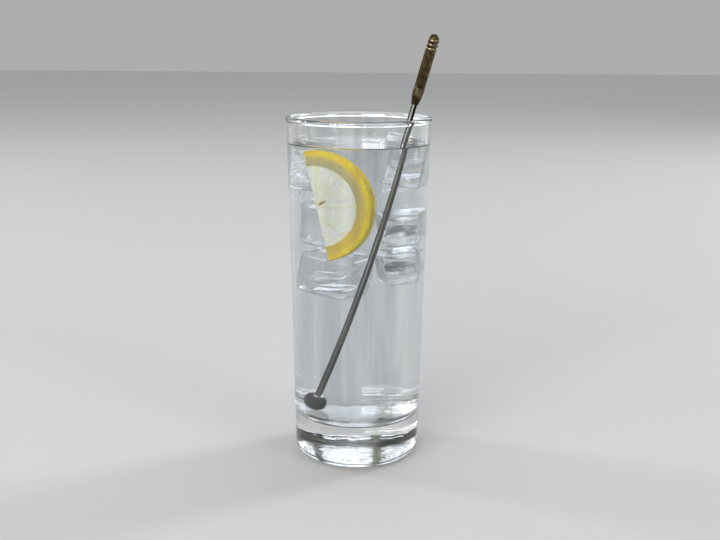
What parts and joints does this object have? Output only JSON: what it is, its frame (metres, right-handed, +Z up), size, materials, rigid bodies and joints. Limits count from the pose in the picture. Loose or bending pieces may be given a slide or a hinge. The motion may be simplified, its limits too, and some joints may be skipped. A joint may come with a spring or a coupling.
{
  "type": "glass of gin and tonic",
  "caption": "Tall highball glass of clear gin and tonic over ice, with a half slice of lemon and a knurled metal stirrer.",
  "frame": {"origin": "centre of the ring that the glass stands on, level with the table", "axes": "+Z up along the glass; +X to the right and -Y to the front, where the lemon slice faces"},
  "size_m": [0.0654, 0.0649, 0.1915],
  "materials": {
    "clear_glass": "clear soda-lime glass, fire-polished rim",
    "drink": "clear carbonated drink",
    "ice": "wet melting ice",
    "lemon": "cut lemon: wet flesh, pith and waxy peel",
    "stirrer_steel": "polished stainless steel",
    "grip_bronze": "knurled dark bronze"
  },
  "bodies": {
    "root": {"glass": "clear_glass", "drink": "drink", "ice_left": "ice", "ice_right": "ice", "lemon_slice": "lemon", "stirrer_rod": "stirrer_steel", "stirrer_ball": "stirrer_steel", "stirrer_grip": "grip_bronze"}
  },
  "joints": []
}
